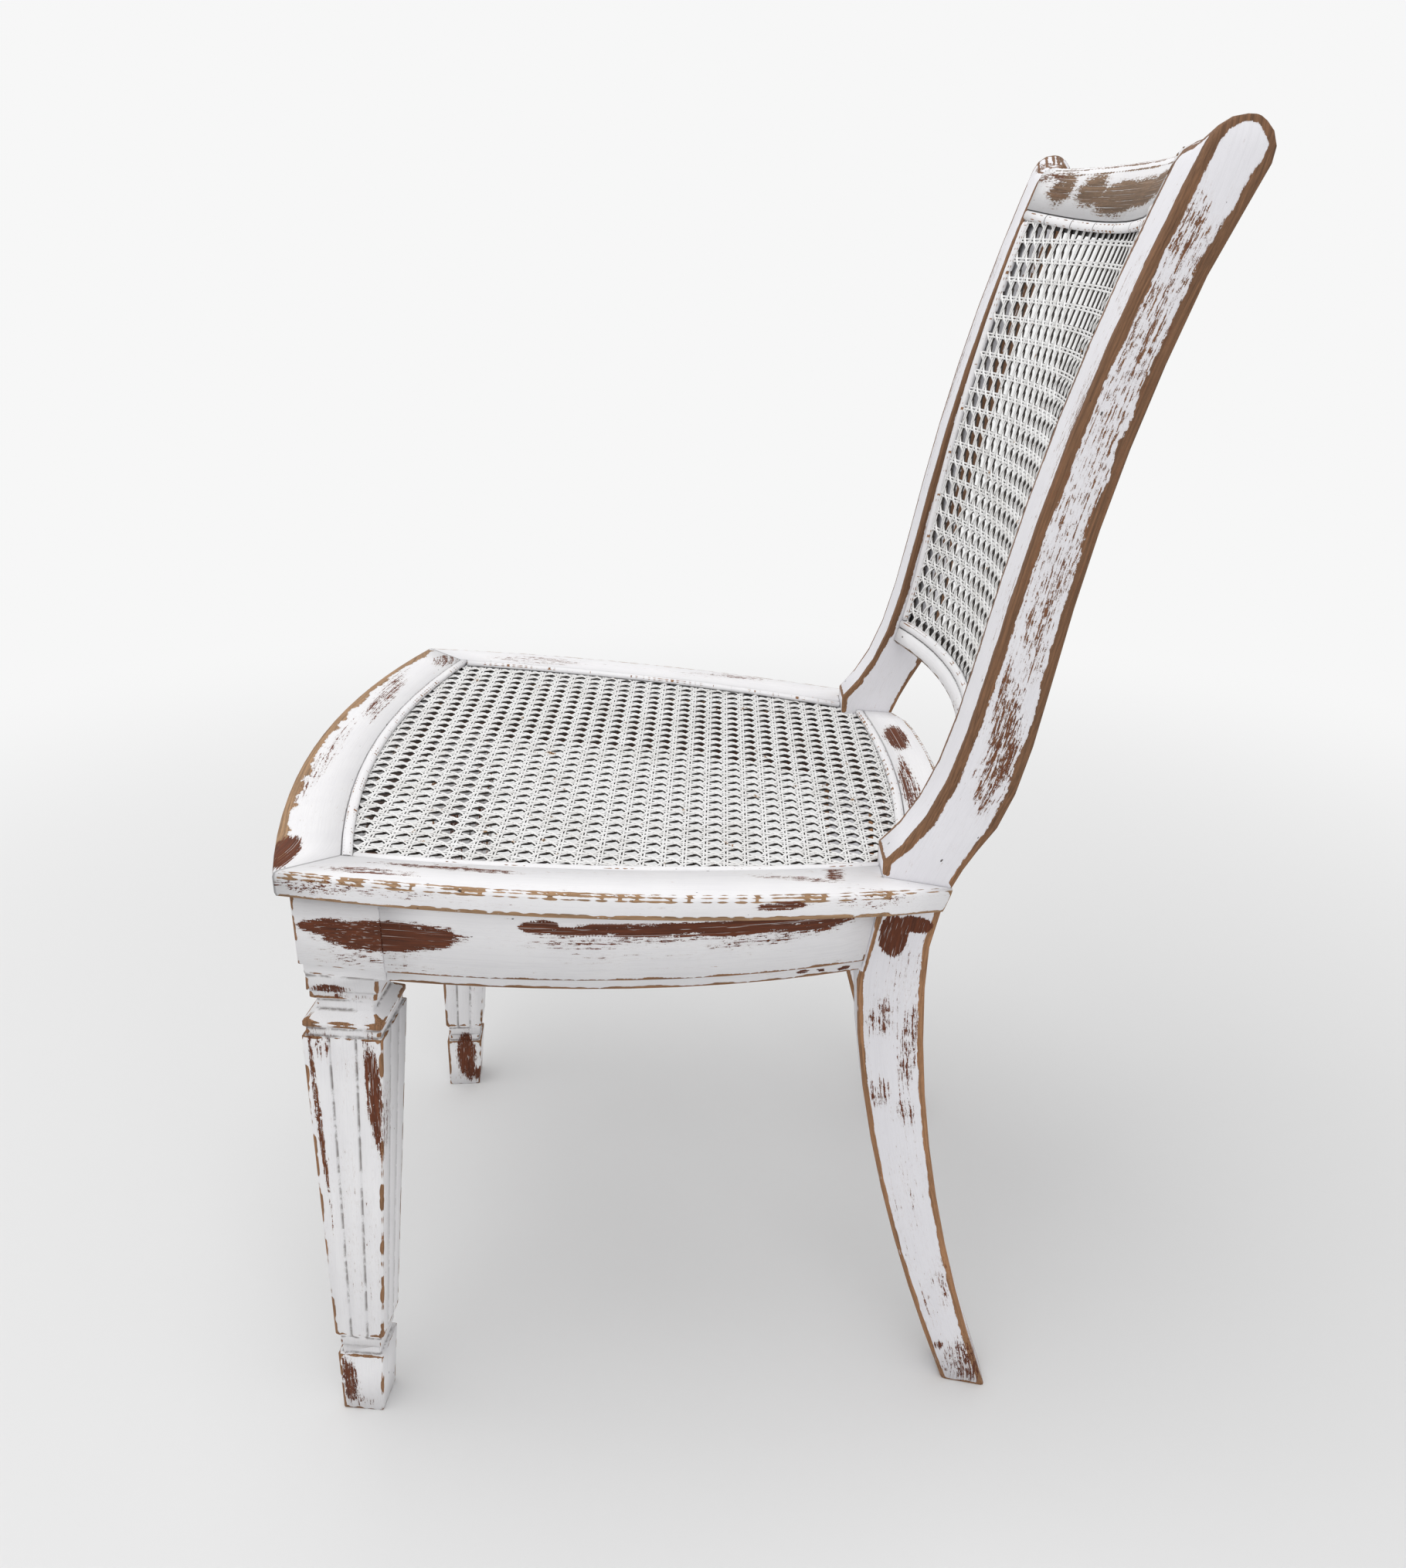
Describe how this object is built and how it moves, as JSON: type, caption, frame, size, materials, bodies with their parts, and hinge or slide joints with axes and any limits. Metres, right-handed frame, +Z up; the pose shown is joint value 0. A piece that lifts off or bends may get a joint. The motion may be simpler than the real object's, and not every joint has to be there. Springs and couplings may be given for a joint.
{
  "type": "cane dining chair with peeling paint",
  "caption": "Dining chair with a caned bow-front seat, a caned barrel back, fluted tapered front legs and sabre rear legs, in worn chalky white paint.",
  "frame": {"origin": "middle of the chair's footprint on the floor, halfway between its foremost and rearmost points", "axes": "+Z up, the sitter faces -Y, +X towards the sitter's left"},
  "size_m": [0.4914, 0.6022, 0.883],
  "materials": {
    "painted_wood": "chalky white paint, sanded through to the wood at the edges",
    "painted_cane": "white paint on woven cane",
    "stained_wood": "dark brown stain, unpainted",
    "screw_steel": "dull steel"
  },
  "bodies": {
    "root": {"front_leg_left": "painted_wood", "front_leg_right": "painted_wood", "rear_post_left": "painted_wood", "rear_post_right": "painted_wood", "apron_front": "painted_wood", "apron_rear": "painted_wood", "apron_left": "painted_wood", "apron_right": "painted_wood", "seat_rail_front": "painted_wood", "seat_rail_rear": "painted_wood", "seat_rail_left": "painted_wood", "seat_rail_right": "painted_wood", "crest_rail": "painted_wood", "lower_back_rail": "painted_wood", "seat_cane": "painted_cane", "seat_spline_front": "painted_cane", "seat_spline_rear": "painted_cane", "seat_spline_left": "painted_cane", "seat_spline_right": "painted_cane", "back_cane": "painted_cane", "back_spline_top": "painted_cane", "back_spline_bottom": "painted_cane", "back_spline_left": "painted_cane", "back_spline_right": "painted_cane", "corner_block_front_left": "stained_wood", "corner_block_front_right": "stained_wood", "corner_block_rear_left": "stained_wood", "corner_block_rear_right": "stained_wood", "block_screw_front_left_a": "screw_steel", "block_screw_front_left_b": "screw_steel", "block_screw_front_right_a": "screw_steel", "block_screw_front_right_b": "screw_steel", "block_screw_rear_left_a": "screw_steel", "block_screw_rear_left_b": "screw_steel", "block_screw_rear_right_a": "screw_steel", "block_screw_rear_right_b": "screw_steel"}
  },
  "joints": []
}
